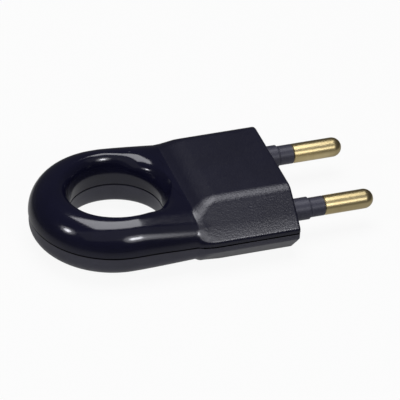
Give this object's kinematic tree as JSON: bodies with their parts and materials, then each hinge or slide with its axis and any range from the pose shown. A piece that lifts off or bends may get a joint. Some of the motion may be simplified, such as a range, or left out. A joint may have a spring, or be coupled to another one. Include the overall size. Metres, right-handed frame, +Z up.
{
  "type": "two-pin plug",
  "caption": "Flat mains plug with round, sleeved brass pins, a split black plastic housing with sloped sides, and a rounded finger ring behind it to pull it out of a socket.",
  "frame": {"origin": "on the engagement face, midway between the two pins, in the plane of their axes", "axes": "+X the way the pins go into a socket, +Y along the pitch of the pins, +Z up through the upper shell"},
  "size_m": [0.0687, 0.0346, 0.0136],
  "materials": {
    "shell": "black moulded plastic, polished on the ring and satin on the block",
    "pin": "turned bright brass",
    "sleeve": "matt black insulating plastic",
    "screw": "zinc-plated steel",
    "clamp": "pressed zinc-plated steel strip",
    "insert": "turned brass"
  },
  "bodies": {
    "root": {"upper_shell": "shell", "lower_shell": "shell", "pin_left": "pin", "pin_right": "pin", "sleeve_left": "sleeve", "sleeve_right": "sleeve", "terminal_screw_left": "screw", "terminal_screw_right": "screw", "cord_clamp": "clamp", "clamp_screw_front": "screw", "clamp_screw_rear": "screw", "threaded_insert_block": "insert", "threaded_insert_ring": "insert", "assembly_screw_block": "screw", "assembly_screw_ring": "screw"}
  },
  "joints": []
}
